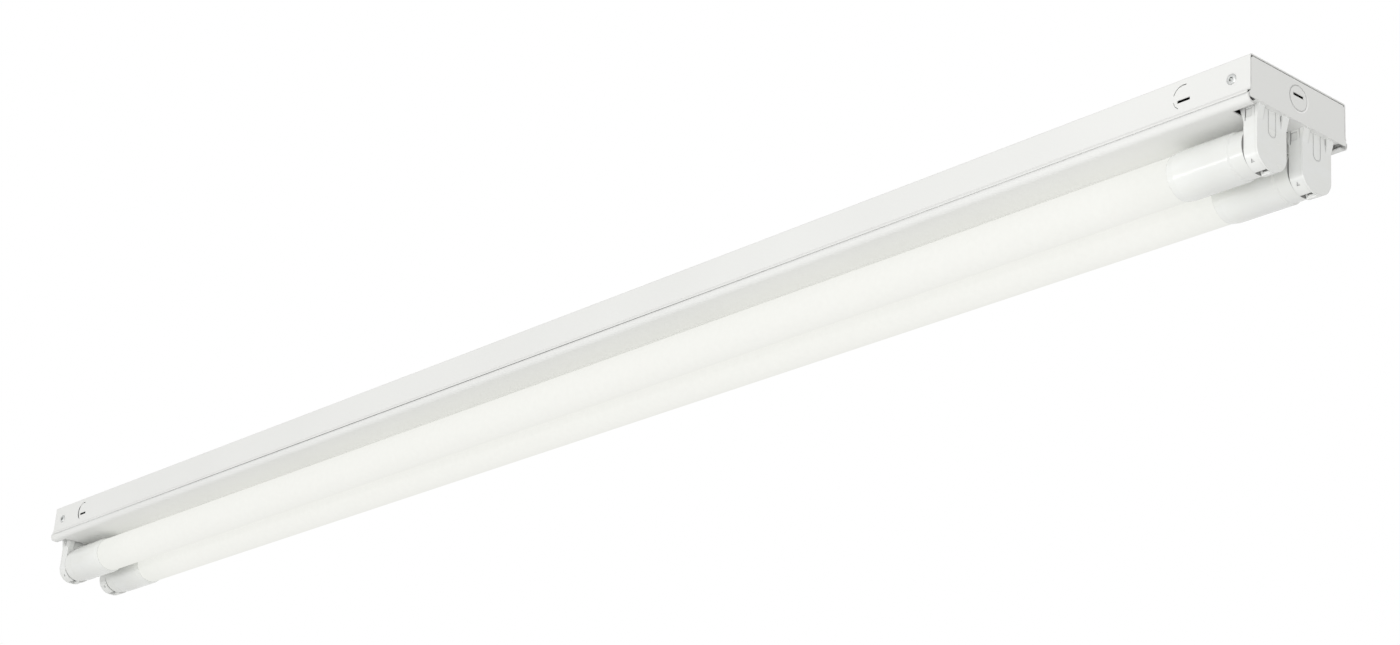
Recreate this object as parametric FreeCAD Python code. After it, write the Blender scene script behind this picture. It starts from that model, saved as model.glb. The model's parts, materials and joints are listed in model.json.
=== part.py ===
"""Two-lamp strip light: a folded steel channel with a snap-in cover, end plates, turn-type
lampholders and two tubular lamps, with the ballast and its leads inside the channel.

Millimetres. X runs along the light, Y across it and +Z up. The origin is the middle of the
channel's top face, the face that goes against a ceiling or hangs from chains.
"""

import FreeCAD
import Part
import math
import os
from FreeCAD import Vector

# ---- lamp (a 4 ft T8 tube with a two-pin G13 base) ----
LAMP_FACE_LENGTH = 1199.4  # base face to base face
LAMP_TUBE_DIAMETER = 25.6
LAMP_TUBE_WALL = 0.8
LAMP_SPACING = 37.2  # axis to axis
LAMP_DROP = 17.8  # lamp axis below the cover
CAP_DIAMETER = 27.6
CAP_COLLAR_DIAMETER = 26.0
CAP_COLLAR_LENGTH = 9.0
CAP_LENGTH = 50.6
CAP_MOUTH_TAPER = 4.5  # length over which the cap thins to the tube
CAP_MOUTH_WALL = 0.25
CAP_TUBE_STOP = 12.0  # solid end of the cap, from the base face to the tube
CAP_FIT = 0.05  # radial gap between cap and tube
PIN_SPACING = 12.7
PIN_DIAMETER = 2.35
PIN_LENGTH = 6.9
PIN_ROOT_WIDTH = 2.8
PIN_FOOT_WIDTH = 4.2
PIN_FOOT_THICKNESS = 1.2
PIN_FIT = 0.03
LED_BOARD_THICKNESS = 0.8
LED_BOARD_HEIGHT = 8.2  # board's lower face above the lamp axis
LED_BOARD_END_GAP = 8.0  # from the tube's end to the board's end
LED_BOARD_FIT = 0.04
LED_CHIP_LENGTH = 3.5
LED_CHIP_WIDTH = 2.8
LED_CHIP_HEIGHT = 0.7
LED_CHIP_COUNT = 24

# ---- lampholder ----
HOLDER_WIDTH = 24.0
HOLDER_DEPTH = 9.0  # along the lamp
HOLDER_INSET = 2.8  # from the end plate's outer face
HOLDER_LAMP_GAP = 0.4
HOLDER_BELOW_AXIS = 13.4
HOLDER_CORNER_RADIUS = 10.5
HOLDER_WALL = 1.4
HOLDER_FRONT_WALL = 1.3
HOLDER_BACK_THICKNESS = 1.5
SLOT_WIDTH = 3.4
SLOT_MOUTH_WIDTH = 5.8
SLOT_MOUTH_HEIGHT = 2.6
NECK_WIDTH = 16.0
NECK_DEPTH = 5.0
NECK_HEIGHT = 7.0
NECK_FIT = 0.2
NECK_BARB = 0.9
NECK_BARB_HEIGHT = 2.2
EAR_WIDTH = 4.6
EAR_HEIGHT = 8.0
EAR_SLIT = 0.5
EAR_SLIT_HEIGHT = 3.4
SIDE_SLIT = 0.9
SIDE_SLIT_HEIGHT = 7.6
SIDE_SLIT_DEPTH = 1.2
FRONT_FLARE = 2.3
BACK_FLARE = 1.6
BACK_SPREAD = 0.6
WINDOW_WIDTH = 4.4
WINDOW_HEIGHT = 4.6
WINDOW_DEPTH = 0.4
WINDOW_TOP = 1.2
TONGUE_WIDTH = 6.6
TONGUE_HEIGHT = 15.5
TONGUE_GROOVE = 0.7
TONGUE_GROOVE_DEPTH = 0.2
TONGUE_FACETS = 6
MARK_SIZE = 2.2
MARK_DEPTH = 0.5
MARK_ANGLE = 40.0  # round the bottom corner, from the side
ROTOR_RADIUS = 7.4
ROTOR_FLANGE_RADIUS = 8.9
ROTOR_FLANGE_THICKNESS = 1.0
ROTOR_RECESS = 0.3
ROTOR_FIT = 0.45
ROTOR_END_PLAY = 0.3
ROTOR_SLOT_WIDTH = 2.6
ROTOR_SLOT_REACH = 7.8
CONTACT_THICKNESS = 0.4
CONTACT_GAP = 0.08  # leaf to pin
CONTACT_BELOW_AXIS = 4.0
CONTACT_DEPTH = 3.2
CONTACT_BRIDGE_DROP = 4.0  # bridge below the lampholder's shoulder

# ---- channel, cover and end plates ----
CHANNEL_WIDTH = 79.4
CHANNEL_SHEET = 0.7
CHANNEL_BEND_RADIUS = 1.3
CHANNEL_SIDE_HEIGHT = 19.9  # down to the lip
LIP_OUT = 1.2
LIP_SLOPE_HEIGHT = 2.0
LIP_EDGE_HEIGHT = 0.8
LIP_END_NOTCH = 1.4
LIP_NOTCH_HEIGHT = 1.6
COVER_SHEET = 0.7
COVER_SEAM = 0.15  # open seam under the channel's lip
COVER_SIDE_HEIGHT = 4.7
COVER_CORNER_RADIUS = 3.0
COVER_LEG_HEIGHT = 8.2
COVER_LEG_GAP = 0.3
COVER_END_NOTCH = 20.0  # the legs stop short of the end plates
HOLDER_CUTOUT_LENGTH = 15.0
HOLDER_CUTOUT_WIDTH = 70.0
END_PLATE_SHEET = 0.7
END_PLATE_TOP_GAP = 0.55
END_PLATE_SIDE_GAP = 0.2
END_PLATE_SLOPE_GAP = 0.5  # under the start of the lip's slope
END_PLATE_CORNER = 1.6
END_PLATE_TOP_BEVEL = 1.2
END_PLATE_DROP = 2.7  # cover's underside below the end plate's flange
END_FLANGE_LENGTH = 18.0
END_FLANGE_MARGIN = 3.0
BRACKET_OVERLAP = 0.6  # lampholder bracket past the lampholder
BRACKET_SIDE_GAP = 0.6

# ---- fasteners and knockouts ----
SMALL_ROD_SIDES = 12
RIVET_FROM_END = 12.3
RIVET_DROP = 11.4
RIVET_SHANK_DIAMETER = 3.2
RIVET_HEAD_DIAMETER = 6.3
RIVET_HEAD_HEIGHT = 0.8
RIVET_TAIL_DIAMETER = 4.8
RIVET_TAIL_LENGTH = 2.6
RIVET_FIT = 0.05
KNOCKOUT_DIAMETER = 14.2
KNOCKOUT_FACET_ANGLE = 24.0
SHEAR_GAP = 0.6
SHEAR_START = 74.0
SHEAR_TIE_START = 160.0
SHEAR_TIE_END = 192.0
SHEAR_END = 238.0
SCORE_WIDTH = 0.3
SCORE_DEPTH = 0.15
SIDE_KNOCKOUT_FROM_END = 44.4
SIDE_KNOCKOUT_DROP = 11.0
SIDE_SLOT_OFFSET = -2.0
END_KNOCKOUT_DROP = 11.3
END_SLOT_OFFSET = 1.5
PRY_SLOT_LENGTH = 8.6
PRY_SLOT_HEIGHT = 1.7
FEED_KNOCKOUT_DIAMETER = 22.2
FEED_KNOCKOUT_X = 190.0
CEILING_HOLE_DIAMETER = 7.0
CEILING_HOLE_SPACING = 1066.8
HOOK_HOLE_DIAMETER = 4.8
HOOK_HOLE_SPACING_X = 965.2
HOOK_HOLE_SPACING_Y = 60.0

# ---- ballast and wiring ----
BALLAST_LENGTH = 240.0
BALLAST_WIDTH = 42.0
BALLAST_HEIGHT = 22.0
BALLAST_EDGE_BEVEL = 1.5
BALLAST_PLATE_SHEET = 1.0
BALLAST_TAB_LENGTH = 12.0
BALLAST_TAB_WIDTH = 20.0
BRIDGE_LENGTH = 6.0
BRIDGE_FIT = 0.1
SCREW_DIAMETER = 3.9
SCREW_HEAD_WIDTH = 6.4
SCREW_HEAD_HEIGHT = 3.0
SCREW_TIP_GAP = 0.1
SCREW_FIT = 0.05
SCREW_SLOT_WIDTH = 1.1
SCREW_SLOT_DEPTH = 1.2
GROUND_SCREW_GAP = 28.0  # from the ballast plate's tab
GROUND_SCREW_Y = -20.0
LEAD_DIAMETER = 2.2
LEAD_DROP = 6.0  # leads' centre line below the top face
LEAD_SIDES = 8
LEAD_FIT = 0.15
LEAD_START_Y = 12.0
SUPPLY_LEAD_LENGTH = 110.0
SUPPLY_LEAD_Y = 5.0
SUPPLY_LEAD_SPREAD = 3.5
CONNECTOR_LENGTH = 24.0
CONNECTOR_WIDTH = 10.0
CONNECTOR_BORE_DEPTH = 14.0

# ---- places worked out from the sizes above ----
HALF_LENGTH = (LAMP_FACE_LENGTH / 2 + HOLDER_LAMP_GAP + HOLDER_DEPTH + HOLDER_INSET)
HALF_WIDTH = CHANNEL_WIDTH / 2
LIP_END_Z = -(CHANNEL_SIDE_HEIGHT + LIP_SLOPE_HEIGHT + LIP_EDGE_HEIGHT)
COVER_TOP_Z = LIP_END_Z - COVER_SEAM
COVER_BOTTOM_Z = COVER_TOP_Z - COVER_SIDE_HEIGHT
BRACKET_BOTTOM_Z = COVER_BOTTOM_Z + END_PLATE_DROP
LAMP_AXIS_Z = COVER_BOTTOM_Z - LAMP_DROP
HOLDER_BACK_X = HALF_LENGTH - HOLDER_INSET
HOLDER_SPLIT_X = HOLDER_BACK_X - HOLDER_BACK_THICKNESS
HOLDER_FRONT_X = HOLDER_BACK_X - HOLDER_DEPTH
HOLDER_BOTTOM_Z = LAMP_AXIS_Z - HOLDER_BELOW_AXIS
NECK_X = (HOLDER_FRONT_X + HOLDER_BACK_X) / 2
BASE_FACE_X = LAMP_FACE_LENGTH / 2
BRACKET_INNER_X = HOLDER_FRONT_X - BRACKET_OVERLAP
PLATE_HALF_WIDTH = HALF_WIDTH - CHANNEL_SHEET - END_PLATE_SIDE_GAP
LAMP_ROWS = {"front": -LAMP_SPACING / 2, "rear": LAMP_SPACING / 2}
ENDS = {"left": -1, "right": 1}


# ---- helpers ----
def box(x0, x1, y0, y1, z0, z1):
    """A block between two corners."""
    return Part.makeBox(x1 - x0, y1 - y0, z1 - z0, Vector(x0, y0, z0))


def rod(radius, start, along, length):
    """A cylinder from a point, along a direction."""
    return Part.makeCylinder(radius, length, Vector(*start), Vector(*along))


def prism_x(points, x0, x1):
    """A (y, z) outline drawn out from x0 to x1."""
    ring = [Vector(x0, y, z) for y, z in points]
    return Part.Face(Part.makePolygon(ring + ring[:1])).extrude(Vector(x1 - x0, 0, 0))


def prism_y(points, y0, y1):
    """An (x, z) outline drawn out from y0 to y1."""
    ring = [Vector(x, y0, z) for x, z in points]
    return Part.Face(Part.makePolygon(ring + ring[:1])).extrude(Vector(0, y1 - y0, 0))


def strip(path, thickness):
    """The outline of a folded sheet: an open path and its mitred offset to the right."""
    def normal(a, b):
        length = math.hypot(b[0] - a[0], b[1] - a[1])
        return (b[1] - a[1]) / length, -(b[0] - a[0]) / length

    normals = [normal(a, b) for a, b in zip(path, path[1:])]
    inner = []
    for i, (y, z) in enumerate(path):
        before = normals[max(i - 1, 0)]
        after = normals[min(i, len(normals) - 1)]
        scale = thickness / (1 + before[0] * after[0] + before[1] * after[1])
        inner.append((y + scale * (before[0] + after[0]), z + scale * (before[1] + after[1])))
    return list(path) + inner[::-1]


def long_edges(shape, points):
    """The edges along X that pass through the given (y, z) points."""
    found = []
    for edge in shape.Edges:
        a, b = edge.Vertexes[0].Point, edge.Vertexes[-1].Point
        for y, z in points:
            if all(math.hypot(p.y - y, p.z - z) < 1e-4 for p in (a, b)) and abs(a.x - b.x) > 0.1:
                found.append(edge)
    return found


def revolve_x(points, y, z):
    """An (x, radius) outline turned round the X axis through (y, z)."""
    ring = [Vector(x, y, z + r) for x, r in points]
    face = Part.Face(Part.makePolygon(ring + ring[:1]))
    return face.revolve(Vector(0, y, z), Vector(1, 0, 0), 360)


def mirrored(shape, side):
    """The shape at the right end, or its mirror image at the left end."""
    return shape if side > 0 else shape.mirror(Vector(0, 0, 0), Vector(1, 0, 0))


def at_both_ends(shapes):
    """The shapes at the right end with their mirror images at the left end."""
    return Part.makeCompound([mirrored(s, side) for side in ENDS.values() for s in shapes])


def both_sides(points):
    """A path that goes up the left side, closed by its mirror image down the right side."""
    return points + [(-y, z) for y, z in points[::-1]]


def polygon_prism(sides, across_flats, start, along, length):
    """A regular prism from a point, along a direction."""
    radius = across_flats / 2 / math.cos(math.pi / sides)
    turns = [2 * math.pi * (i + 0.5) / sides for i in range(sides)]
    ring = [Vector(radius * math.cos(a), radius * math.sin(a), 0) for a in turns]
    prism = Part.Face(Part.makePolygon(ring + ring[:1])).extrude(Vector(0, 0, length))
    prism.Placement = FreeCAD.Placement(
        Vector(*start), FreeCAD.Rotation(Vector(0, 0, 1), Vector(*along)))
    return prism


def small_rod(diameter, start, along, length):
    """A thin round bar in flat facets, its corners on the diameter."""
    across_flats = diameter * math.cos(math.pi / SMALL_ROD_SIDES)
    return polygon_prism(SMALL_ROD_SIDES, across_flats, start, along, length)


def lead(points):
    """An insulated wire along a route of straight runs."""
    points = [Vector(*p) for p in points]
    first = points[1] - points[0]
    ring = polygon_prism(LEAD_SIDES, LEAD_DIAMETER, points[0], first, 1).Faces
    start = min(ring, key=lambda f: (f.CenterOfMass - points[0]).Length)
    path = Part.makePolygon(points)
    return path.makePipeShell([start.OuterWire], True, False, 1)


# ---- knockouts ----
def shear_line(radius, width, depth, angle_from, angle_to):
    """A narrow slit along an arc about Z, in short straight facets, from z = 0 up."""
    count = math.ceil((angle_to - angle_from) / KNOCKOUT_FACET_ANGLE)
    turns = [math.radians(angle_from + (angle_to - angle_from) * i / count)
             for i in range(count + 1)]
    outer, inner = radius + width / 2, radius - width / 2
    ring = [Vector(outer * math.cos(a), outer * math.sin(a), 0) for a in turns]
    ring += [Vector(inner * math.cos(a), inner * math.sin(a), 0) for a in turns[::-1]]
    return Part.Face(Part.makePolygon(ring + ring[:1])).extrude(Vector(0, 0, depth))


def knockout_cut(diameter, depth, slot_offset):
    """The two sheared arcs of a knockout and its pry slot, about Z."""
    radius = diameter / 2
    return [shear_line(radius, SHEAR_GAP, depth, SHEAR_START, SHEAR_TIE_START),
            shear_line(radius, SHEAR_GAP / 2, depth, SHEAR_TIE_END, SHEAR_END),
            pry_slot(depth, slot_offset)]


def pry_slot(depth, offset):
    """A screwdriver slot beside a knockout's centre, about Z."""
    half = PRY_SLOT_LENGTH / 2
    return box(-half, half, offset - PRY_SLOT_HEIGHT / 2, offset + PRY_SLOT_HEIGHT / 2, 0, depth)


def placed(shapes, position, rotations):
    """Copies of the shapes, turned about the origin and then moved."""
    result = []
    for shape in shapes:
        copy = shape.copy()
        for axis, angle in rotations:
            copy.rotate(Vector(0, 0, 0), Vector(*axis), angle)
        copy.translate(Vector(*position))
        result.append(copy)
    return result


# ---- channel ----
def channel_body():
    outer = both_sides([
        (-HALF_WIDTH - LIP_OUT, LIP_END_Z),
        (-HALF_WIDTH - LIP_OUT, LIP_END_Z + LIP_EDGE_HEIGHT),
        (-HALF_WIDTH, -CHANNEL_SIDE_HEIGHT),
        (-HALF_WIDTH, 0),
    ])
    section = strip(outer, CHANNEL_SHEET)
    body = prism_x(section, -HALF_LENGTH, HALF_LENGTH)
    corners = [(side * HALF_WIDTH, 0) for side in (-1, 1)]
    body = body.makeFillet(CHANNEL_BEND_RADIUS, long_edges(body, corners))
    inner = [(side * (HALF_WIDTH - CHANNEL_SHEET), -CHANNEL_SHEET) for side in (-1, 1)]
    body = body.makeFillet(CHANNEL_BEND_RADIUS - CHANNEL_SHEET, long_edges(body, inner))
    body = body.fuse(ballast_bridge())
    return body.cut(Part.makeCompound(channel_cuts()))


def channel_cuts():
    cuts = []
    depth = 3 * CHANNEL_SHEET
    for end in ENDS.values():
        for side in (-1, 1):
            x0, x1 = sorted((end * (HALF_LENGTH - LIP_END_NOTCH), end * (HALF_LENGTH + 1)))
            y0, y1 = sorted((side * (HALF_WIDTH - 2 * CHANNEL_SHEET),
                             side * (HALF_WIDTH + 2 * LIP_OUT)))
            cuts.append(box(x0, x1, y0, y1, LIP_END_Z - 1, LIP_END_Z + LIP_NOTCH_HEIGHT))
        rivet_x = end * (HALF_LENGTH - RIVET_FROM_END)
        reach = HALF_WIDTH + 1
        hole = RIVET_SHANK_DIAMETER + 2 * RIVET_FIT
        cuts.append(small_rod(hole, (rivet_x, -reach, -RIVET_DROP), (0, 1, 0), 2 * reach))
        for side in (-1, 1):
            x = end * (HALF_LENGTH - SIDE_KNOCKOUT_FROM_END)
            turn = [((1, 0, 0), 90), ((0, 0, 1), 90 + side * 90)]
            place = (x, side * (HALF_WIDTH - depth / 2), -SIDE_KNOCKOUT_DROP)
            shear = knockout_cut(KNOCKOUT_DIAMETER, depth, SIDE_SLOT_OFFSET)
            cuts += placed(shear, place, turn)
        shear = knockout_cut(FEED_KNOCKOUT_DIAMETER, depth, 0)
        cuts += placed(shear, (end * FEED_KNOCKOUT_X, 0, -depth / 2), [])
        x = end * CEILING_HOLE_SPACING / 2
        cuts.append(rod(CEILING_HOLE_DIAMETER / 2, (x, 0, -depth), (0, 0, 1), 2 * depth))
        for side in (-1, 1):
            hook = (end * HOOK_HOLE_SPACING_X / 2, side * HOOK_HOLE_SPACING_Y / 2, -depth)
            cuts.append(rod(HOOK_HOLE_DIAMETER / 2, hook, (0, 0, 1), 2 * depth))
    hole = SCREW_DIAMETER + 2 * SCREW_FIT
    for x, y in ((ballast_screw_x(), 0), (ground_screw_x(), GROUND_SCREW_Y)):
        cuts.append(small_rod(hole, (x, y, -depth), (0, 0, 1), 2 * depth))
    return cuts


def ballast_bridge():
    """A strap formed down out of the channel's top, which holds the ballast plate's far tab."""
    x = -ballast_screw_x()
    half_x = BRIDGE_LENGTH / 2
    half_y = BALLAST_TAB_WIDTH / 2 + BRIDGE_FIT + CHANNEL_SHEET
    top = -CHANNEL_SHEET
    drop = BALLAST_PLATE_SHEET + BRIDGE_FIT + CHANNEL_SHEET
    strap = box(x - half_x, x + half_x, -half_y, half_y, top - drop, top)
    gap = box(x - half_x - 1, x + half_x + 1, -half_y + CHANNEL_SHEET, half_y - CHANNEL_SHEET,
              top - drop + CHANNEL_SHEET, top)
    return strap.cut(gap)


# ---- cover ----
def channel_cover():
    leg_y = -(HALF_WIDTH - CHANNEL_SHEET - COVER_LEG_GAP)
    side_y = -(HALF_WIDTH + LIP_OUT)
    outer = both_sides([
        (leg_y, COVER_TOP_Z + COVER_LEG_HEIGHT),
        (leg_y, COVER_TOP_Z),
        (side_y, COVER_TOP_Z),
        (side_y, COVER_BOTTOM_Z),
    ])
    cover = prism_x(strip(outer, -COVER_SHEET), -HALF_LENGTH, HALF_LENGTH)
    corners = [(side * side_y, COVER_BOTTOM_Z) for side in (-1, 1)]
    cover = cover.makeFillet(COVER_CORNER_RADIUS, long_edges(cover, corners))
    inner = [(side * (side_y + COVER_SHEET), COVER_BOTTOM_Z + COVER_SHEET) for side in (-1, 1)]
    cover = cover.makeFillet(COVER_CORNER_RADIUS - COVER_SHEET, long_edges(cover, inner))
    return cover.cut(Part.makeCompound(cover_cuts(side_y)))


def cover_cuts(side_y):
    cuts = []
    past = 1.0
    flange_inner = -side_y - COVER_SHEET
    for end in ENDS.values():
        notch = box(HALF_LENGTH - HOLDER_CUTOUT_LENGTH, HALF_LENGTH + past,
                    -HOLDER_CUTOUT_WIDTH / 2, HOLDER_CUTOUT_WIDTH / 2,
                    COVER_BOTTOM_Z - past, 0)
        legs = box(HALF_LENGTH - COVER_END_NOTCH, HALF_LENGTH + past,
                   -flange_inner, flange_inner,
                   COVER_TOP_Z - COVER_SHEET, COVER_TOP_Z + COVER_LEG_HEIGHT + past)
        cuts += [mirrored(notch, end), mirrored(legs, end)]
    return cuts


# ---- end plates ----
def end_plate(side):
    outer_x = HALF_LENGTH
    inner_x = HALF_LENGTH - END_PLATE_SHEET
    top = -CHANNEL_SHEET - END_PLATE_TOP_GAP
    width = PLATE_HALF_WIDTH
    foot = HALF_WIDTH + LIP_OUT - CHANNEL_SHEET - END_PLATE_SIDE_GAP
    slope_top = -CHANNEL_SIDE_HEIGHT - END_PLATE_SLOPE_GAP
    bevel = END_PLATE_TOP_BEVEL
    outline = both_sides([
        (-foot, BRACKET_BOTTOM_Z), (-foot, slope_top - LIP_SLOPE_HEIGHT), (-width, slope_top),
        (-width, top - bevel), (-width + bevel, top),
    ])
    plate = prism_x(outline, inner_x, outer_x)
    corners = [(side_y * foot, BRACKET_BOTTOM_Z) for side_y in (-1, 1)]
    plate = plate.makeFillet(END_PLATE_CORNER, long_edges(plate, corners))
    pieces = []
    for edge in (-1, 1):
        flange_top = top - END_FLANGE_MARGIN
        y0, y1 = sorted((edge * width, edge * (width - END_PLATE_SHEET)))
        pieces.append(box(outer_x - END_FLANGE_LENGTH, outer_x, y0, y1,
                          -CHANNEL_SIDE_HEIGHT + END_FLANGE_MARGIN, flange_top))
    reach = HOLDER_CUTOUT_WIDTH / 2 - BRACKET_SIDE_GAP
    pieces.append(box(BRACKET_INNER_X, outer_x, -reach, reach,
                      BRACKET_BOTTOM_Z, BRACKET_BOTTOM_Z + END_PLATE_SHEET))
    plate = plate.fuse(pieces).removeSplitter()
    return mirrored(plate.cut(Part.makeCompound(end_plate_cuts())), side)


def end_plate_cuts():
    cuts = []
    for y in LAMP_ROWS.values():
        half_y = NECK_WIDTH / 2 + NECK_FIT
        half_x = NECK_DEPTH / 2 + NECK_FIT
        cuts.append(box(NECK_X - half_x, NECK_X + half_x, y - half_y, y + half_y,
                        BRACKET_BOTTOM_Z - 1, BRACKET_BOTTOM_Z + END_PLATE_SHEET + 1))
    reach = PLATE_HALF_WIDTH + 1
    hole = RIVET_SHANK_DIAMETER + 2 * RIVET_FIT
    cuts.append(small_rod(hole, (HALF_LENGTH - RIVET_FROM_END, -reach, -RIVET_DROP),
                          (0, 1, 0), 2 * reach))
    turn = [((0, 0, 1), 90), ((0, 1, 0), 90)]
    ring = [shear_line(KNOCKOUT_DIAMETER / 2, SCORE_WIDTH, END_PLATE_SHEET, a, a + 180)
            for a in (0, 180)]
    cuts += placed(ring, (HALF_LENGTH - SCORE_DEPTH, 0, -END_KNOCKOUT_DROP), turn)
    slot = pry_slot(3 * END_PLATE_SHEET, END_SLOT_OFFSET)
    place = (HALF_LENGTH - 2 * END_PLATE_SHEET, 0, -END_KNOCKOUT_DROP)
    cuts += placed([slot], place, turn)
    return cuts


def end_rivet(end, side):
    """A blind rivet through a channel side and an end plate's flange."""
    grip = HALF_WIDTH - PLATE_HALF_WIDTH + END_PLATE_SHEET
    head = small_rod(RIVET_HEAD_DIAMETER, (0, 0, 0), (0, 0, 1), RIVET_HEAD_HEIGHT)
    shank = small_rod(RIVET_SHANK_DIAMETER, (0, 0, -grip), (0, 0, 1), grip)
    tail = small_rod(RIVET_TAIL_DIAMETER, (0, 0, -grip), (0, 0, -1), RIVET_TAIL_LENGTH)
    rivet = head.fuse([shank, tail]).removeSplitter()
    place = (end * (HALF_LENGTH - RIVET_FROM_END), side * HALF_WIDTH, -RIVET_DROP)
    return placed([rivet], place, [((1, 0, 0), -side * 90)])[0]


# ---- lampholder ----
def u_outline(x, y, half_width, top, bottom, radius):
    """A face across X: straight sides and top, rounded bottom corners."""
    def corner(side):
        centre = Vector(x, y + side * (half_width - radius), bottom + radius)
        return (centre + Vector(0, side * radius, 0),
                centre + Vector(0, side * radius * math.sqrt(0.5), -radius * math.sqrt(0.5)),
                centre + Vector(0, 0, -radius))

    left, right = corner(-1), corner(1)
    top_left, top_right = Vector(x, y - half_width, top), Vector(x, y + half_width, top)
    edges = [
        Part.LineSegment(top_left, left[0]).toShape(),
        Part.Arc(*left).toShape(),
        Part.LineSegment(left[2], right[2]).toShape(),
        Part.Arc(*right[::-1]).toShape(),
        Part.LineSegment(right[0], top_right).toShape(),
        Part.LineSegment(top_right, top_left).toShape(),
    ]
    return Part.Face(Part.Wire(edges))


def holder_solid(y, x0, x1, inset):
    """The lampholder's outline, taken in all round, drawn out from x0 to x1."""
    face = u_outline(x0, y, HOLDER_WIDTH / 2 - inset, BRACKET_BOTTOM_Z - inset,
                     HOLDER_BOTTOM_Z + inset, HOLDER_CORNER_RADIUS - inset)
    return face.extrude(Vector(x1 - x0, 0, 0))


def ears(y, root_x, flare, keep_x, spread):
    """Two wedges at the shoulder that flare out along X and spread sideways."""
    top, bottom = BRACKET_BOTTOM_Z, BRACKET_BOTTOM_Z - EAR_HEIGHT
    lengthwise = [(keep_x, top), (root_x + flare, top), (root_x, bottom), (keep_x, bottom)]
    edge = HOLDER_WIDTH / 2
    inner = edge - EAR_WIDTH
    wedges = []
    for side in (-1, 1):
        across = [(y + side * inner, top), (y + side * (edge + spread), top),
                  (y + side * edge, bottom), (y + side * inner, bottom)]
        slab = prism_y(lengthwise, y - HOLDER_WIDTH, y + HOLDER_WIDTH)
        wedges.append(slab.common(prism_x(across, HOLDER_FRONT_X - HOLDER_DEPTH, HALF_LENGTH)))
    return wedges


def neck(y):
    """The snap-in foot above the shoulder, with barbs over the bracket."""
    half_x, half_y = NECK_DEPTH / 2, NECK_WIDTH / 2
    top = BRACKET_BOTTOM_Z + NECK_HEIGHT
    foot = box(NECK_X - half_x, NECK_X + half_x, y - half_y, y + half_y, BRACKET_BOTTOM_Z, top)
    barb_bottom = BRACKET_BOTTOM_Z + END_PLATE_SHEET + NECK_FIT / 2
    parts = [foot]
    for side in (-1, 1):
        edge = y + side * half_y
        tip = edge + side * NECK_BARB
        outline = [(edge, barb_bottom), (tip, barb_bottom), (edge, barb_bottom + NECK_BARB_HEIGHT)]
        parts.append(prism_x(outline, NECK_X - half_x, NECK_X + half_x))
    return parts


def holder_pocket(y, inner_x):
    """The room inside for the rotor and contact, with bevelled lower corners."""
    half = HOLDER_WIDTH / 2 - HOLDER_WALL
    top, bottom = BRACKET_BOTTOM_Z - HOLDER_WALL, HOLDER_BOTTOM_Z + HOLDER_WALL
    bevel = HOLDER_CORNER_RADIUS - HOLDER_WALL
    return prism_x([(y - half, top), (y - half, bottom + bevel),
                    (y - half + bevel, bottom), (y + half - bevel, bottom),
                    (y + half, bottom + bevel), (y + half, top)], inner_x, HOLDER_SPLIT_X)


def holder_body(y):
    inner_x = HOLDER_FRONT_X + HOLDER_FRONT_WALL
    shell = holder_solid(y, HOLDER_FRONT_X, HOLDER_SPLIT_X, 0)
    shell = shell.cut(holder_pocket(y, inner_x))
    flares = ears(y, HOLDER_FRONT_X, -FRONT_FLARE, inner_x, 0)
    shell = shell.fuse(flares + neck(y)).removeSplitter()
    past = 1.0
    aperture = rod(ROTOR_RADIUS + ROTOR_FIT, (HOLDER_FRONT_X - past, y, LAMP_AXIS_Z),
                   (1, 0, 0), HOLDER_FRONT_WALL + 2 * past)
    mouth, throat = SLOT_MOUTH_WIDTH / 2, SLOT_WIDTH / 2
    throat_z = HOLDER_BOTTOM_Z + SLOT_MOUTH_HEIGHT
    entry = prism_x([(y - mouth, HOLDER_BOTTOM_Z - past), (y - mouth, HOLDER_BOTTOM_Z),
                     (y - throat, throat_z), (y - throat, LAMP_AXIS_Z),
                     (y + throat, LAMP_AXIS_Z), (y + throat, throat_z),
                     (y + mouth, HOLDER_BOTTOM_Z), (y + mouth, HOLDER_BOTTOM_Z - past)],
                    HOLDER_FRONT_X - past, HOLDER_SPLIT_X + past)
    half = LEAD_DIAMETER / 2 + LEAD_FIT
    passage = box(NECK_X - half, NECK_X + half, y - half, y + half,
                  BRACKET_BOTTOM_Z - HOLDER_WALL - past, BRACKET_BOTTOM_Z + NECK_HEIGHT + past)
    return shell.cut(Part.makeCompound([aperture, entry, passage] + holder_side_cuts(y)))


def holder_side_cuts(y):
    """On each side a shallow window, a slit beside each ear and a small arrow."""
    cuts = []
    shoulder = BRACKET_BOTTOM_Z
    window_x = HOLDER_SPLIT_X - SIDE_SLIT - WINDOW_TOP
    front_slit_x = HOLDER_FRONT_X + SIDE_SLIT
    for side in (-1, 1):
        face_y = y + side * HOLDER_WIDTH / 2
        y0, y1 = sorted((face_y - side * WINDOW_DEPTH, face_y + side))
        cuts.append(box(window_x - WINDOW_WIDTH, window_x, y0, y1,
                        shoulder - WINDOW_TOP - WINDOW_HEIGHT, shoulder - WINDOW_TOP))
        y0, y1 = sorted((face_y - side * SIDE_SLIT_DEPTH, face_y + side))
        cuts.append(box(front_slit_x, front_slit_x + SIDE_SLIT / 2, y0, y1,
                        shoulder - SIDE_SLIT_HEIGHT, shoulder))
        wedge = [(HOLDER_SPLIT_X - SIDE_SLIT, shoulder + 1), (HOLDER_SPLIT_X, shoulder + 1),
                 (HOLDER_SPLIT_X, shoulder - SIDE_SLIT_HEIGHT)]
        cuts.append(prism_y(wedge, y0, y1))
        cuts.append(side_arrow(y, side))
    return cuts


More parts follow.
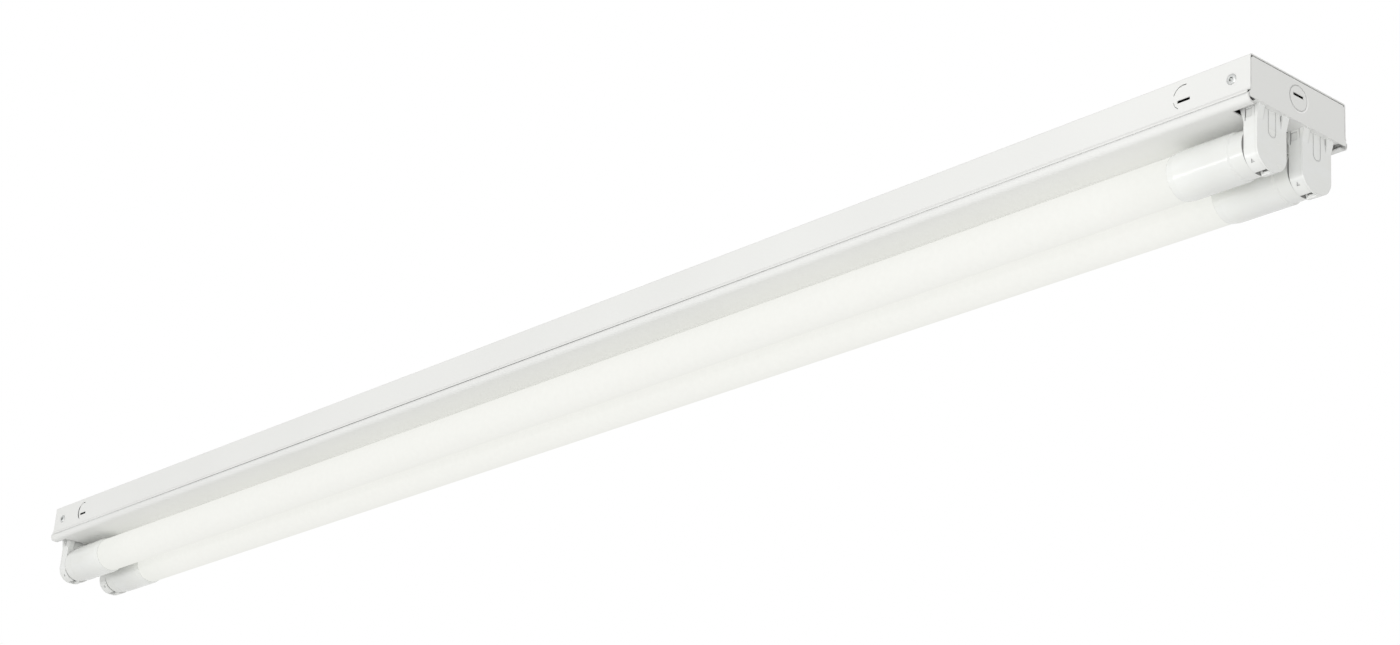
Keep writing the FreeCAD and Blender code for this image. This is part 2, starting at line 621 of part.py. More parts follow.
def side_arrow(y, side):
    """A small triangular dent on the rounded corner."""
    middle_x = (HOLDER_FRONT_X + HOLDER_SPLIT_X) / 2
    half = MARK_SIZE / 2
    outline = [(middle_x - half, -half), (middle_x + half, -half), (middle_x, half)]
    radius = HOLDER_CORNER_RADIUS
    dent = prism_y(outline, radius - MARK_DEPTH, radius + 1)
    dent.rotate(Vector(0, 0, 0), Vector(1, 0, 0), -MARK_ANGLE)
    dent.translate(Vector(0, HOLDER_WIDTH / 2 - radius, HOLDER_BOTTOM_Z + radius))
    if side < 0:
        dent = dent.mirror(Vector(0, 0, 0), Vector(0, 1, 0))
    dent.translate(Vector(0, y, 0))
    return dent


def tongue_outline(y, half_width, bottom, top):
    """A strip with a half-round lower end in short facets."""
    turns = [math.pi * i / TONGUE_FACETS for i in range(TONGUE_FACETS + 1)]
    lower = [(y + half_width * math.cos(a), bottom + half_width - half_width * math.sin(a))
             for a in turns]
    return [(y + half_width, top)] + lower + [(y - half_width, top)]


def holder_back(y):
    """The flat back cover with two flared ears and a grooved tongue."""
    plate = holder_solid(y, HOLDER_SPLIT_X, HOLDER_BACK_X, 0)
    plate = plate.fuse(ears(y, HOLDER_BACK_X, BACK_FLARE, HOLDER_SPLIT_X, BACK_SPREAD)).removeSplitter()
    cuts = []
    for side in (-1, 1):
        centre = y + side * (HOLDER_WIDTH / 2 - EAR_WIDTH - EAR_SLIT / 2)
        cuts.append(box(HOLDER_SPLIT_X - 1, HALF_LENGTH, centre - EAR_SLIT / 2,
                        centre + EAR_SLIT / 2, BRACKET_BOTTOM_Z - EAR_SLIT_HEIGHT,
                        BRACKET_BOTTOM_Z + 1))
    floor_x = HOLDER_BACK_X - TONGUE_GROOVE_DEPTH
    top, bottom = BRACKET_BOTTOM_Z + 1, BRACKET_BOTTOM_Z - TONGUE_HEIGHT
    outer = tongue_outline(y, TONGUE_WIDTH / 2, bottom, top)
    inner = tongue_outline(y, TONGUE_WIDTH / 2 - TONGUE_GROOVE, bottom + TONGUE_GROOVE, top + 1)
    groove = prism_x(outer, floor_x, HALF_LENGTH).cut(prism_x(inner, floor_x - 1, HALF_LENGTH + 1))
    return plate.cut(Part.makeCompound(cuts + [groove]))


def holder_rotor(y):
    """The turning disc that the pins slide into, with a flange that keeps it in the body."""
    front = HOLDER_FRONT_X + ROTOR_RECESS
    flange = HOLDER_FRONT_X + HOLDER_FRONT_WALL + ROTOR_END_PLAY
    disc = rod(ROTOR_RADIUS, (front, y, LAMP_AXIS_Z), (1, 0, 0), flange - front)
    rim = polygon_prism(12, 2 * ROTOR_FLANGE_RADIUS, (flange, y, LAMP_AXIS_Z), (1, 0, 0),
                        ROTOR_FLANGE_THICKNESS)
    half = ROTOR_SLOT_WIDTH / 2
    slot = box(front - 1, flange + ROTOR_FLANGE_THICKNESS + 1, y - HOLDER_WIDTH,
               y + ROTOR_SLOT_REACH, LAMP_AXIS_Z - half, LAMP_AXIS_Z + half)
    return disc.fuse(rim).removeSplitter().cut(slot)


def holder_contact(y):
    """One bent strap: a leaf beside each pin and a bridge under the lead."""
    leaf_y = PIN_SPACING / 2 + PIN_DIAMETER / 2 + CONTACT_GAP
    outer_y = leaf_y + CONTACT_THICKNESS
    bridge_z = BRACKET_BOTTOM_Z - CONTACT_BRIDGE_DROP
    half = CONTACT_DEPTH / 2
    bottom = LAMP_AXIS_Z - CONTACT_BELOW_AXIS
    parts = [box(NECK_X - half, NECK_X + half, y + a, y + b, bottom, bridge_z)
             for a, b in ((-outer_y, -leaf_y), (leaf_y, outer_y))]
    bridge = box(NECK_X - half, NECK_X + half, y - outer_y, y + outer_y,
                 bridge_z - CONTACT_THICKNESS, bridge_z)
    return bridge.fuse(parts).removeSplitter()


# ---- lamp ----
def lamp_tube(y):
    end = BASE_FACE_X - CAP_TUBE_STOP
    outer = rod(LAMP_TUBE_DIAMETER / 2, (-end, y, LAMP_AXIS_Z), (1, 0, 0), 2 * end)
    inner = rod(LAMP_TUBE_DIAMETER / 2 - LAMP_TUBE_WALL, (-end - 1, y, LAMP_AXIS_Z),
                (1, 0, 0), 2 * end + 2)
    return outer.cut(inner)


def lamp_cap(y):
    """A stepped sleeve: a collar at the pins, then a longer sleeve over the tube's end."""
    face = BASE_FACE_X
    collar_r, sleeve_r = CAP_COLLAR_DIAMETER / 2, CAP_DIAMETER / 2
    tube_r = LAMP_TUBE_DIAMETER / 2 + CAP_FIT
    step = face - CAP_COLLAR_LENGTH
    mouth = face - CAP_LENGTH
    stop = face - CAP_TUBE_STOP
    outline = [
        (face, 0), (face, collar_r), (step, collar_r), (step - sleeve_r + collar_r, sleeve_r),
        (mouth + CAP_MOUTH_TAPER, sleeve_r), (mouth, tube_r + CAP_MOUTH_WALL),
        (mouth, tube_r), (stop, tube_r), (stop, 0),
    ]
    cap = revolve_x(outline, y, LAMP_AXIS_Z)
    half = PIN_ROOT_WIDTH / 2 + PIN_FIT
    holes = [box(stop - 1, face + 1, pin_y - half, pin_y + half,
                 LAMP_AXIS_Z - half, LAMP_AXIS_Z + half)
             for pin_y in (y - PIN_SPACING / 2, y + PIN_SPACING / 2)]
    return cap.cut(Part.makeCompound(holes))


def lamp_pins(y):
    """Two round pins, each with a square root through the cap's solid end and a foot behind it."""
    pins = []
    floor_x = BASE_FACE_X - CAP_TUBE_STOP
    root, foot = PIN_ROOT_WIDTH / 2, PIN_FOOT_WIDTH / 2
    for side in (-1, 1):
        pin_y = y + side * PIN_SPACING / 2
        parts = [
            box(floor_x, BASE_FACE_X, pin_y - root, pin_y + root,
                LAMP_AXIS_Z - root, LAMP_AXIS_Z + root),
            box(floor_x - PIN_FOOT_THICKNESS, floor_x, pin_y - foot, pin_y + foot,
                LAMP_AXIS_Z - foot, LAMP_AXIS_Z + foot),
        ]
        pin = small_rod(PIN_DIAMETER, (BASE_FACE_X, pin_y, LAMP_AXIS_Z), (1, 0, 0), PIN_LENGTH)
        pins.append(pin.fuse(parts).removeSplitter())
    return pins


def led_board_reach():
    return BASE_FACE_X - CAP_TUBE_STOP - LED_BOARD_END_GAP


def led_board(y):
    """A flat board whose upper edges rest against the inside of the tube."""
    inner_r = LAMP_TUBE_DIAMETER / 2 - LAMP_TUBE_WALL - LED_BOARD_FIT
    top = LED_BOARD_HEIGHT + LED_BOARD_THICKNESS
    half = math.sqrt(inner_r ** 2 - top ** 2)
    reach = led_board_reach()
    return box(-reach, reach, y - half, y + half,
               LAMP_AXIS_Z + LED_BOARD_HEIGHT, LAMP_AXIS_Z + top)


def led_chips(y):
    """A row of chips under the board."""
    pitch = 2 * led_board_reach() / LED_CHIP_COUNT
    first = -led_board_reach() + pitch / 2
    top = LAMP_AXIS_Z + LED_BOARD_HEIGHT
    half_x, half_y = LED_CHIP_LENGTH / 2, LED_CHIP_WIDTH / 2
    return Part.makeCompound([
        box(first + i * pitch - half_x, first + i * pitch + half_x, y - half_y, y + half_y,
            top - LED_CHIP_HEIGHT, top) for i in range(LED_CHIP_COUNT)])


# ---- ballast and wiring ----
def ballast_screw_x():
    return BALLAST_LENGTH / 2 + BALLAST_TAB_LENGTH / 2


def ground_screw_x():
    return BALLAST_LENGTH / 2 + BALLAST_TAB_LENGTH + GROUND_SCREW_GAP


def ballast_plate():
    top = -CHANNEL_SHEET
    reach = BALLAST_LENGTH / 2 + BALLAST_TAB_LENGTH
    plate = box(-BALLAST_LENGTH / 2, BALLAST_LENGTH / 2, -BALLAST_WIDTH / 2, BALLAST_WIDTH / 2,
                top - BALLAST_PLATE_SHEET, top)
    tabs = box(-reach, reach, -BALLAST_TAB_WIDTH / 2, BALLAST_TAB_WIDTH / 2,
               top - BALLAST_PLATE_SHEET, top)
    plate = plate.fuse(tabs).removeSplitter()
    hole = small_rod(SCREW_DIAMETER + 2 * SCREW_FIT, (ballast_screw_x(), 0, top - 2), (0, 0, 1), 4)
    return plate.cut(hole)


def ballast_case():
    top = -CHANNEL_SHEET - BALLAST_PLATE_SHEET
    case = box(-BALLAST_LENGTH / 2, BALLAST_LENGTH / 2, -BALLAST_WIDTH / 2, BALLAST_WIDTH / 2,
               top - BALLAST_HEIGHT, top)
    bevelled = [e for e in case.Edges
               if min(v.Z for v in e.Vertexes) < top - BALLAST_HEIGHT + 1e-6]
    return case.makeChamfer(BALLAST_EDGE_BEVEL, bevelled)


def screw(x, y, seat_z):
    """A hex-head screw driven up from inside, its tip just under the channel's top face."""
    head = polygon_prism(6, SCREW_HEAD_WIDTH, (x, y, seat_z - SCREW_HEAD_HEIGHT), (0, 0, 1),
                         SCREW_HEAD_HEIGHT)
    shank = small_rod(SCREW_DIAMETER, (x, y, seat_z), (0, 0, 1), -SCREW_TIP_GAP - seat_z)
    whole = head.fuse(shank).removeSplitter()
    bottom = seat_z - SCREW_HEAD_HEIGHT
    slot = box(x - SCREW_HEAD_WIDTH, x + SCREW_HEAD_WIDTH, y - SCREW_SLOT_WIDTH / 2,
               y + SCREW_SLOT_WIDTH / 2, bottom - 1, bottom + SCREW_SLOT_DEPTH)
    return whole.cut(slot)


def holder_leads(side):
    """A lead from the ballast to each lampholder at one end."""
    leads = []
    start_x = BALLAST_LENGTH / 2
    contact_top = BRACKET_BOTTOM_Z - CONTACT_BRIDGE_DROP
    for y in LAMP_ROWS.values():
        start_y = math.copysign(LEAD_START_Y, y)
        route = [
            (start_x, start_y, -LEAD_DROP),
            (start_x + 30, start_y, -LEAD_DROP),
            (start_x + 75, y, -LEAD_DROP),
            (NECK_X, y, -LEAD_DROP),
            (NECK_X, y, contact_top),
        ]
        leads.append(lead(route))
    return mirrored(Part.makeCompound(leads), side)


def supply_lead(side):
    """A short lead from the ballast into a twist-on connector."""
    start_x = BALLAST_LENGTH / 2
    y = side * SUPPLY_LEAD_Y
    far_y = side * (SUPPLY_LEAD_Y + SUPPLY_LEAD_SPREAD)
    drop = LEAD_DROP + 2 * LEAD_DIAMETER
    end_x = start_x + SUPPLY_LEAD_LENGTH
    route = [(start_x, y, -drop), (start_x + 35, y, -drop), (start_x + 70, far_y, -drop),
             (end_x, far_y, -drop)]
    return lead(route), Vector(end_x, far_y, -drop)


def wire_connector(tip):
    """A six-sided cap over the last of a lead."""
    mouth = (tip.x - CONNECTOR_BORE_DEPTH, tip.y, tip.z)
    cap = polygon_prism(6, CONNECTOR_WIDTH, mouth, (1, 0, 0), CONNECTOR_LENGTH)
    bore = polygon_prism(LEAD_SIDES, LEAD_DIAMETER + 2 * LEAD_FIT, mouth, (1, 0, 0),
                         CONNECTOR_BORE_DEPTH)
    return cap.cut(bore)


# ---- all nodes ----
def nodes():
    made = {
        "channel_body": channel_body(),
        "channel_cover": channel_cover(),
        "ballast_plate": ballast_plate(),
        "ballast_case": ballast_case(),
        "ballast_screw": screw(ballast_screw_x(), 0, -CHANNEL_SHEET - BALLAST_PLATE_SHEET),
        "ground_screw": screw(ground_screw_x(), GROUND_SCREW_Y, -CHANNEL_SHEET),
        "blue_lampholder_leads": holder_leads(ENDS["left"]),
        "red_lampholder_leads": holder_leads(ENDS["right"]),
    }
    black, black_tip = supply_lead(-1)
    white, white_tip = supply_lead(1)
    made["black_supply_lead"] = black
    made["white_supply_lead"] = white
    made["wire_connectors"] = Part.makeCompound([wire_connector(black_tip),
                                                 wire_connector(white_tip)])
    contacts = []
    rivets = []
    for end, side in ENDS.items():
        made[f"end_plate_{end}"] = end_plate(side)
        rivets += [end_rivet(side, across) for across in (-1, 1)]
        for row, y in LAMP_ROWS.items():
            made[f"lampholder_body_{row}_{end}"] = mirrored(holder_body(y), side)
            made[f"lampholder_back_{row}_{end}"] = mirrored(holder_back(y), side)
            contacts.append(mirrored(holder_contact(y), side))
    made["lampholder_contacts"] = Part.makeCompound(contacts)
    made["end_plate_rivets"] = Part.makeCompound(rivets)
    for row, y in LAMP_ROWS.items():
        made[f"lamp_tube_{row}"] = lamp_tube(y)
        made[f"led_board_{row}"] = led_board(y)
        made[f"led_chips_{row}"] = led_chips(y)
        made[f"lamp_caps_{row}"] = at_both_ends([lamp_cap(y)])
        made[f"lamp_pins_{row}"] = at_both_ends(lamp_pins(y))
        made[f"lampholder_rotors_{row}"] = at_both_ends([holder_rotor(y)])
    return made


def main():
    os.makedirs("parts", exist_ok=True)
    for name, shape in nodes().items():
        if not shape.isValid() or not shape.Solids:
            print("not a valid solid:", name)
        for solid in shape.Solids:
            if solid.Volume <= 0:
                print("inside out:", name)
        kept = shape if len(shape.Solids) == 1 else Part.makeCompound(shape.Solids)
        kept.exportStep(f"parts/{name}.step")


main()
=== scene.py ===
import json
import math

import bmesh
import bpy
from mathutils import Matrix, Vector


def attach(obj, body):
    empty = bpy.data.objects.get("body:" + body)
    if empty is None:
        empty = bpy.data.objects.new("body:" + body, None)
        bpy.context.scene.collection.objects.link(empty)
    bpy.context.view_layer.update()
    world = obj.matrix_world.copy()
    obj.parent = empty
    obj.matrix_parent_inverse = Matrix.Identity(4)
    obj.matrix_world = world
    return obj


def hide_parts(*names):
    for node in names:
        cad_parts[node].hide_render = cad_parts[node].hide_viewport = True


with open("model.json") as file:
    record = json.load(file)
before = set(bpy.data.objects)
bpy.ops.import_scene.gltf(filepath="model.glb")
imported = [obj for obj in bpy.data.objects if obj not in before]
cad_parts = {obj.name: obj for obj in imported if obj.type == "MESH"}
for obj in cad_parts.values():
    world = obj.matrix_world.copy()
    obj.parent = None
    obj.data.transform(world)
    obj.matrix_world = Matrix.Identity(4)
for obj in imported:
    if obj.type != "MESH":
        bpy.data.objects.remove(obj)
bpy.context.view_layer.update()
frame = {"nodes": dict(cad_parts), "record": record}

NODES = frame["nodes"]

# ---- places and sizes on the light, in metres ----
HALF_LENGTH, HALF_WIDTH = 0.6119, 0.0397  # of the channel, outside
OUTER_END_X = 0.6112  # past this lies an end plate's outer face
OUTER_SIDE_Y = 0.0393  # past this lies the outer face of the channel's side
SEAM_Z = -0.02277  # where the cover meets the channel
SEAM_FADE_LEFT = (-0.52, -0.30)  # the seam's shade comes in over this stretch of X
SEAM_FADE_RIGHT = (0.05, 0.36)  # and goes out over this one

INSIDE_HALF_LENGTH, INSIDE_HALF_WIDTH = 0.6114, 0.0392
INSIDE_TOP_Z, INSIDE_FLOOR_Z = -0.0006, -0.0270
HOLDER_CUTOUT_X = 0.5969  # the cover's cut-outs reach from here to the end
HOLDER_CUTOUT_RAISE = 0.0024  # there the inside stops this much higher

SIDE_KNOCKOUT_X, SIDE_KNOCKOUT_Z = -0.5675, -0.0110  # middle of the left one
KNOCKOUT_RADIUS = 0.0071
END_KNOCKOUT_Z = -0.0113
END_KNOCKOUT_INNER, END_KNOCKOUT_OUTER = 0.0069, 0.0077  # radii of the step at its line

TUBE_DIM_X = (0.50, 0.552)  # the tube's glow falls off over this stretch, into the cap
CAP_GLOW_X = (0.549, 0.575)  # and the cap's over this one
CAP_RIM_X = (0.5994, 0.5996)  # the cap's end face starts here

RIVET_FROM_END, RIVET_DROP = 0.0123, 0.0114
# Half outline of a set rivet as (radius, height) from its tail up over the head
RIVET_OUTLINE = [(0.0, -0.0034), (0.0021, -0.0034), (0.0024, -0.0024), (0.0023, -0.0018),
                 (0.0016, -0.0015), (0.0016, 0.0), (0.0031, 0.0), (0.00315, 0.00015),
                 (0.0030, 0.0004), (0.0026, 0.00065), (0.0020, 0.0008), (0.0015, 0.0008),
                 (0.00125, 0.00065), (0.0012, 0.0004), (0.0012, -0.0006), (0.0006, -0.0007),
                 (0.0005, -0.0003), (0.0, -0.00025)]

# ---- colours ----
WHITE = (0.810, 0.812, 0.797)
# painted shade for the faces inside the closed channel
PAINTED_INSIDE_SHADE = (0.10, 0.10, 0.098)
# painted highlight on the end knockouts' cut line
EDGE_HIGHLIGHT = (0.95, 0.95, 0.94)
RIM_SHADE = (0.28, 0.28, 0.275)
CAP_GLOW = (0.97, 1.0, 0.93)
TUBE_GLOW, TUBE_GLOW_BY_CAP = (0.930, 0.932, 0.893), (0.885, 0.893, 0.85)
TUBE_SURFACE = (0.22, 0.22, 0.212)
SEAM_DARKNESS, KNOCKOUT_DARKNESS = 0.34, 0.08  # share of the paint's colour that is left

# ---- camera, as fitted to the photo ----
CAMERA_AZIMUTH, CAMERA_ELEVATION, CAMERA_ROLL = 50.218, -21.903, 4.319  # degrees
CAMERA_PLACE = (1.4802, -1.1184, -0.7190)
CAMERA_SENSOR, CAMERA_LENS = 36.0, 75.93  # millimetres

# ---- light ----
FILL_SIDE = (-0.70, -0.71, 0.10)  # the surroundings are brightest this way
FILL_STRENGTH = (0.63, 0.72)
# name, place, target, (width, height) in metres, watts
AREA_LIGHTS = (
    ("key", (2.0, -2.4, -0.8), (0.5, 0, 0), (1.4, 1.2), 16),
    ("below", (0.7, -0.9, -2.6), (0.5, 0, 0), (2.0, 1.2), 2.2),
    ("above", (0.2, -2.6, 0.9), (0.2, 0, 0), (2.4, 0.8), 6.0),
    ("front", (1.62, -1.25, -0.85), (0.3, 0, 0), (0.45, 0.45), 5.8),
    ("glint", (-0.74, -1.6, -0.55), (0.5, 0, 0), (0.9, 0.07), 3.5),
)


# ---- node helpers ----
def new_material(name):
    mat = bpy.data.materials.new(name)
    mat.use_nodes = True
    tree = mat.node_tree
    return mat, tree, tree.nodes["Principled BSDF"]


def add(tree, kind, inputs=None, **settings):
    node = tree.nodes.new(kind)
    for key, value in settings.items():
        setattr(node, key, value)
    for key, value in (inputs or {}).items():
        node.inputs[key].default_value = value
    return node


def coords(tree, stretch=(1, 1, 1)):
    """Object coordinates in metres, stretched along each axis."""
    source = add(tree, "ShaderNodeTexCoord")
    mapping = add(tree, "ShaderNodeMapping")
    mapping.inputs["Scale"].default_value = stretch
    tree.links.new(source.outputs["Object"], mapping.inputs["Vector"])
    return mapping.outputs["Vector"]


def separate(tree, vector):
    node = add(tree, "ShaderNodeSeparateXYZ")
    tree.links.new(vector, node.inputs["Vector"])
    return node.outputs


def maths(tree, operation, a, b=None):
    node = add(tree, "ShaderNodeMath", operation=operation)
    for i, value in enumerate((a, b)):
        if isinstance(value, (int, float)):
            node.inputs[i].default_value = value
        elif value is not None:
            tree.links.new(value, node.inputs[i])
    return node.outputs[0]


def product(tree, *factors):
    result = factors[0]
    for factor in factors[1:]:
        result = maths(tree, "MULTIPLY", result, factor)
    return result


def hypotenuse(tree, a, b):
    return maths(tree, "SQRT", maths(tree, "ADD", product(tree, a, a), product(tree, b, b)))


def remap(tree, value, low, high, to_low=0.0, to_high=1.0):
    node = add(tree, "ShaderNodeMapRange", {"From Min": low, "From Max": high,
                                            "To Min": to_low, "To Max": to_high})
    tree.links.new(value, node.inputs["Value"])
    return node.outputs["Result"]


def line_at(tree, value, centre, solid, fade):
    """1 where the value is within solid of the centre, falling to 0 at fade from it."""
    off = maths(tree, "ABSOLUTE", maths(tree, "SUBTRACT", value, centre))
    return remap(tree, off, solid, fade, 1.0, 0.0)


def noise(tree, vector, scale, detail=3.0, rough=0.5):
    tex = add(tree, "ShaderNodeTexNoise", {"Scale": scale, "Detail": detail, "Roughness": rough})
    tree.links.new(vector, tex.inputs["Vector"])
    return tex.outputs["Fac"]


def scaled(colour, factor):
    return tuple(c * factor for c in colour)


def mix_colour(tree, factor, a, b):
    node = add(tree, "ShaderNodeMix", data_type="RGBA")
    for socket, value in ((6, a), (7, b)):
        if isinstance(value, tuple):
            node.inputs[socket].default_value = (*value, 1.0)
        else:
            tree.links.new(value, node.inputs[socket])
    tree.links.new(factor, node.inputs[0])
    return node.outputs[2]


def bump(tree, height, strength, distance, normal=None):
    node = add(tree, "ShaderNodeBump", {"Strength": strength, "Distance": distance})
    tree.links.new(height, node.inputs["Height"])
    if normal is not None:
        tree.links.new(normal, node.inputs["Normal"])
    return node.outputs["Normal"]


def soft_edges(tree, radius):
    node = add(tree, "ShaderNodeBevel", {"Radius": radius}, samples=4)
    return node.outputs["Normal"]


def crevices(tree, reach):
    """1 in the grooves and slots of a piece, 0 on its open faces."""
    node = add(tree, "ShaderNodeAmbientOcclusion", {"Distance": reach}, samples=8,
               only_local=True)
    return remap(tree, node.outputs["AO"], 0.35, 0.92, 1.0, 0.0)


# ---- painted shade and a painted highlight on the fixture's enamel, each 1 where it shows ----
def inside_shade(tree, where):
    """Painted shade: every face inside the closed channel is coloured dark."""
    axes = separate(tree, where)
    reach_x = maths(tree, "ABSOLUTE", axes["X"])
    reach_y = maths(tree, "ABSOLUTE", axes["Y"])
    by_holders = maths(tree, "GREATER_THAN", reach_x, HOLDER_CUTOUT_X)
    floor = maths(tree, "ADD", INSIDE_FLOOR_Z, product(tree, by_holders, HOLDER_CUTOUT_RAISE))
    return product(tree,
                   maths(tree, "LESS_THAN", reach_x, INSIDE_HALF_LENGTH),
                   maths(tree, "LESS_THAN", reach_y, INSIDE_HALF_WIDTH),
                   maths(tree, "LESS_THAN", axes["Z"], INSIDE_TOP_Z),
                   maths(tree, "GREATER_THAN", axes["Z"], floor))


def seam_shade(tree, where):
    """A hairline of shade where cover meets channel, open along the middle, tight at the ends."""
    axes = separate(tree, where)
    return product(tree,
                   remap(tree, axes["X"], *SEAM_FADE_RIGHT, 1.0, 0.0),
                   remap(tree, axes["X"], *SEAM_FADE_LEFT),
                   line_at(tree, axes["Z"], SEAM_Z, 0.00014, 0.00034))


def knockout_shade(tree, where):
    """Painted shade along a stretch of the cut line, left of the slot in the left side knockouts.
    """
    axes = separate(tree, where)
    along = maths(tree, "SUBTRACT", axes["X"], SIDE_KNOCKOUT_X)
    up = maths(tree, "SUBTRACT", axes["Z"], SIDE_KNOCKOUT_Z)
    return product(tree,
                   maths(tree, "LESS_THAN", along, -0.0055),
                   maths(tree, "GREATER_THAN", maths(tree, "ABSOLUTE", axes["Y"]), OUTER_SIDE_Y),
                   line_at(tree, hypotenuse(tree, along, up), KNOCKOUT_RADIUS, 0.0005, 0.0008))


def end_knockout_radius(tree, where):
    """How far a point of an end plate is from the middle of its knockout."""
    axes = separate(tree, where)
    return hypotenuse(tree, axes["Y"], maths(tree, "SUBTRACT", axes["Z"], END_KNOCKOUT_Z))


def knockout_step(tree, where):
    """Height of the sheet: the end plates' knockouts lie a little below what is round them."""
    return remap(tree, end_knockout_radius(tree, where), END_KNOCKOUT_INNER, END_KNOCKOUT_OUTER)


def painted_edge_highlight(tree, where):
    """A painted highlight on the lower rear part of the end knockouts' cut line."""
    axes = separate(tree, where)
    lower_rear = maths(tree, "SUBTRACT", axes["Y"], axes["Z"])
    return product(tree,
                   line_at(tree, end_knockout_radius(tree, where), END_KNOCKOUT_OUTER,
                           0.00035, 0.0006),
                   maths(tree, "GREATER_THAN", maths(tree, "ABSOLUTE", axes["X"]), OUTER_END_X),
                   remap(tree, lower_rear, 0.0143, 0.0183))


# ---- materials ----
def enamel(name, colour, edge=0.00035, rough=0.46, fixture=False):
    """Baked paint on sheet steel: slight orange peel and a faint change of tone.

    The fixture's own enamel also has painted shade and a painted highlight, and the step of its
    end knockouts.
    """
    mat, tree, bsdf = new_material(name)
    where = coords(tree)
    tone = noise(tree, where, 9.0, 2.0)
    shade = mix_colour(tree, remap(tree, tone, 0.35, 0.7), colour, scaled(colour, 0.975))
    if fixture:
        # painted shade inside, at the seam and by the left knockouts; painted highlight on the
        # knockout cut line
        for mark, tint in ((inside_shade, PAINTED_INSIDE_SHADE),
                           (seam_shade, scaled(colour, SEAM_DARKNESS)),
                           (painted_edge_highlight, EDGE_HIGHLIGHT),
                           (knockout_shade, scaled(colour, KNOCKOUT_DARKNESS))):
            shade = mix_colour(tree, mark(tree, where), shade, tint)
    tree.links.new(shade, bsdf.inputs["Base Color"])
    peel = noise(tree, where, 420.0, 1.0)
    roll = noise(tree, coords(tree, (0.25, 1, 1)), 70.0, 2.0)
    tree.links.new(remap(tree, roll, 0.3, 0.7, rough - 0.04, rough + 0.05),
                   bsdf.inputs["Roughness"])
    normal = bump(tree, peel, 0.025, 0.0002, soft_edges(tree, edge))
    if fixture:
        normal = bump(tree, knockout_step(tree, where), 1.0, 0.0006, normal)
    tree.links.new(normal, bsdf.inputs["Normal"])
    bsdf.inputs["Specular IOR Level"].default_value = 0.25
    return mat


def moulded(name, colour, rough=0.22, edge=0.0004, grain=1500.0, crevice_shade=0.0):
    """Moulded plastic: soft edges, faint flow lines and a fine grain, with painted shade in
    grooves and slots if asked.
    """
    mat, tree, bsdf = new_material(name)
    where = coords(tree)
    flow = noise(tree, coords(tree, (1, 1, 3)), 60.0, 3.0)
    warm = (colour[0] * 0.975, colour[1] * 0.97, colour[2] * 0.95)
    shade = mix_colour(tree, remap(tree, flow, 0.3, 0.75), colour, warm)
    if crevice_shade:
        # painted shade: grooves and slots of the piece are coloured darker
        shade = mix_colour(tree, crevices(tree, 0.0016), shade, scaled(colour, crevice_shade))
    tree.links.new(shade, bsdf.inputs["Base Color"])
    tree.links.new(remap(tree, flow, 0.3, 0.7, rough - 0.04, rough + 0.06),
                   bsdf.inputs["Roughness"])
    normal = bump(tree, noise(tree, where, grain, 1.0), 0.05, 0.0001, soft_edges(tree, edge))
    tree.links.new(normal, bsdf.inputs["Normal"])
    return mat


def lamp_plastic(name, colour):
    """The lamp's end caps: glossy, faintly glowing by the tube, with painted shade round the rim
    by the lampholder.
    """
    mat = moulded(name, colour, rough=0.2, edge=0.0006)
    tree = mat.node_tree
    bsdf = tree.nodes["Principled BSDF"]
    reach = maths(tree, "ABSOLUTE", separate(tree, coords(tree))["X"])
    bsdf.inputs["Emission Color"].default_value = (*CAP_GLOW, 1)
    tree.links.new(remap(tree, reach, *CAP_GLOW_X, 0.08, 0.01), bsdf.inputs["Emission Strength"])
    clean = bsdf.inputs["Base Color"].links[0].from_socket
    # painted shade round the cap's rim where it meets the lampholder
    rim = remap(tree, reach, *CAP_RIM_X)
    tree.links.new(mix_colour(tree, rim, clean, RIM_SHADE), bsdf.inputs["Base Color"])
    return mat


def metal(name, colour, rough, stretch=(1, 1, 1)):
    """Bare metal with fine drawn lines and a few dull patches."""
    mat, tree, bsdf = new_material(name)
    bsdf.inputs["Metallic"].default_value = 1.0
    lines = noise(tree, coords(tree, stretch), 900.0, 3.0)
    dull = noise(tree, coords(tree), 120.0, 3.0)
    shade = mix_colour(tree, remap(tree, dull, 0.35, 0.7), colour, scaled(colour, 0.8))
    tree.links.new(shade, bsdf.inputs["Base Color"])
    tree.links.new(remap(tree, dull, 0.3, 0.7, rough - 0.08, rough + 0.1),
                   bsdf.inputs["Roughness"])
    tree.links.new(bump(tree, lines, 0.1, 0.00005, soft_edges(tree, 0.0002)),
                   bsdf.inputs["Normal"])
    return mat


def insulation(name, colour):
    """Wire insulation: satin, with a faint drawn grain."""
    mat, tree, bsdf = new_material(name)
    along = noise(tree, coords(tree, (0.2, 1, 1)), 800.0, 2.0)
    tree.links.new(mix_colour(tree, along, colour, scaled(colour, 0.8)),
                   bsdf.inputs["Base Color"])
    tree.links.new(remap(tree, along, 0.3, 0.7, 0.35, 0.5), bsdf.inputs["Roughness"])
    tree.links.new(bump(tree, along, 0.08, 0.0001), bsdf.inputs["Normal"])
    return mat


def lit_tube(name):
    """The frosted tube with its light on: it glows and takes some light, dimmer by the caps."""
    mat, tree, bsdf = new_material(name)
    where = coords(tree)
    frost = noise(tree, where, 260.0, 3.0)
    reach = maths(tree, "ABSOLUTE", separate(tree, where)["X"])
    glow = mix_colour(tree, remap(tree, reach, *TUBE_DIM_X), TUBE_GLOW, TUBE_GLOW_BY_CAP)
    tree.links.new(glow, bsdf.inputs["Emission Color"])
    tree.links.new(remap(tree, frost, 0.3, 0.7, 0.73, 0.75), bsdf.inputs["Emission Strength"])
    bsdf.inputs["Base Color"].default_value = (*TUBE_SURFACE, 1)
    bsdf.inputs["Specular IOR Level"].default_value = 0.0
    tree.links.new(remap(tree, frost, 0.3, 0.7, 0.42, 0.5), bsdf.inputs["Roughness"])
    tree.links.new(bump(tree, frost, 0.05, 0.0001), bsdf.inputs["Normal"])
    return mat


